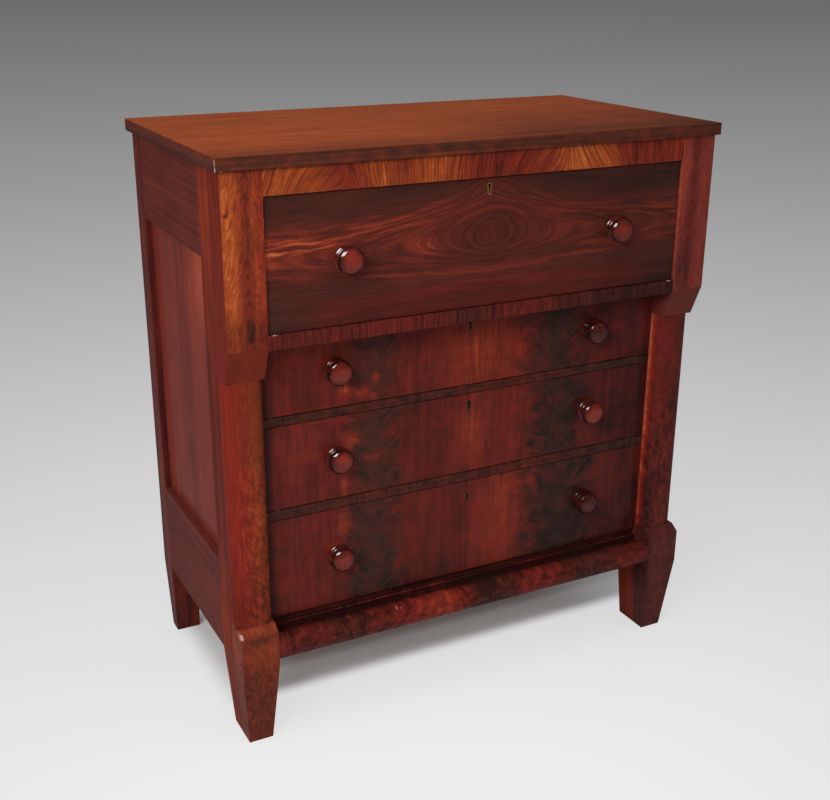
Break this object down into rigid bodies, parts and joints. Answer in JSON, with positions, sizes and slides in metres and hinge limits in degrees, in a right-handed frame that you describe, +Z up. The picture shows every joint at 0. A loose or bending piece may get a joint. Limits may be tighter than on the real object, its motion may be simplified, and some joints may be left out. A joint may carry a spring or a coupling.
{
  "type": "chest of drawers",
  "caption": "Mahogany chest of drawers with canted upper blocks, rounded pilasters, a roll moulding between tapered feet, panelled sides, turned knobs and brass keyhole plates.",
  "frame": {"origin": "on the floor, under the middle of the whole chest's width and depth, knobs and top included", "axes": "+Z up, -Y out of the front where the drawers open, +X to the right as seen from the front"},
  "size_m": [1.015, 0.564, 1.1155],
  "materials": {
    "figured_mahogany": "gloss",
    "side_mahogany": "satin",
    "turned_mahogany": "gloss",
    "drawer_lining": "matt",
    "secondary_wood": "matt",
    "brass": "aged",
    "steel": "dull"
  },
  "bodies": {
    "case": {"top_board": "figured_mahogany", "frieze_rail": "figured_mahogany", "upper_divider": "figured_mahogany", "second_divider": "figured_mahogany", "third_divider": "figured_mahogany", "base_rail": "figured_mahogany", "roll_moulding": "figured_mahogany", "back_boards": "secondary_wood", "drawer_runners": "secondary_wood", "drawer_guides": "secondary_wood", "kicker_strips": "secondary_wood", "drawer_stops": "secondary_wood", "glue_blocks": "secondary_wood", "front_post_left": "side_mahogany", "front_post_right": "side_mahogany", "rear_post_left": "side_mahogany", "rear_post_right": "side_mahogany", "side_panel_left": "side_mahogany", "side_panel_right": "side_mahogany", "upper_block_left": "figured_mahogany", "upper_block_right": "figured_mahogany", "pilaster_left": "figured_mahogany", "pilaster_right": "figured_mahogany", "foot_block_left": "figured_mahogany", "foot_block_right": "figured_mahogany", "side_top_rail_left": "side_mahogany", "side_top_rail_right": "side_mahogany", "side_bottom_rail_left": "side_mahogany", "side_bottom_rail_right": "side_mahogany", "back_top_rail": "secondary_wood", "back_bottom_rail": "secondary_wood"},
    "drawer_1": {"drawer_1_front": "figured_mahogany", "drawer_1_sides": "drawer_lining", "drawer_1_back": "drawer_lining", "drawer_1_bottom": "drawer_lining", "drawer_1_knobs": "turned_mahogany", "drawer_1_lock": "brass"},
    "bolt_1": {"drawer_1_bolt": "steel"},
    "drawer_2": {"drawer_2_front": "figured_mahogany", "drawer_2_sides": "drawer_lining", "drawer_2_back": "drawer_lining", "drawer_2_bottom": "drawer_lining", "drawer_2_knobs": "turned_mahogany", "drawer_2_lock": "brass"},
    "bolt_2": {"drawer_2_bolt": "steel"},
    "drawer_3": {"drawer_3_front": "figured_mahogany", "drawer_3_sides": "drawer_lining", "drawer_3_back": "drawer_lining", "drawer_3_bottom": "drawer_lining", "drawer_3_knobs": "turned_mahogany", "drawer_3_lock": "brass"},
    "bolt_3": {"drawer_3_bolt": "steel"},
    "drawer_4": {"drawer_4_front": "figured_mahogany", "drawer_4_sides": "drawer_lining", "drawer_4_back": "drawer_lining", "drawer_4_bottom": "drawer_lining", "drawer_4_knobs": "turned_mahogany", "drawer_4_lock": "brass"},
    "bolt_4": {"drawer_4_bolt": "steel"}
  },
  "joints": [
    {"name": "drawer_1_slide", "type": "slide", "parent": "case", "child": "drawer_1", "axis": [0, -1, 0], "range_m": [0, 0.38]},
    {"name": "drawer_2_slide", "type": "slide", "parent": "case", "child": "drawer_2", "axis": [0, -1, 0], "range_m": [0, 0.35]},
    {"name": "drawer_3_slide", "type": "slide", "parent": "case", "child": "drawer_3", "axis": [0, -1, 0], "range_m": [0, 0.35]},
    {"name": "drawer_4_slide", "type": "slide", "parent": "case", "child": "drawer_4", "axis": [0, -1, 0], "range_m": [0, 0.35]},
    {"name": "bolt_1_throw", "type": "slide", "parent": "drawer_1", "child": "bolt_1", "axis": [0, 0, 1], "range_m": [0, 0.008]},
    {"name": "bolt_2_throw", "type": "slide", "parent": "drawer_2", "child": "bolt_2", "axis": [0, 0, 1], "range_m": [0, 0.008]},
    {"name": "bolt_3_throw", "type": "slide", "parent": "drawer_3", "child": "bolt_3", "axis": [0, 0, 1], "range_m": [0, 0.008]},
    {"name": "bolt_4_throw", "type": "slide", "parent": "drawer_4", "child": "bolt_4", "axis": [0, 0, 1], "range_m": [0, 0.008]}
  ]
}
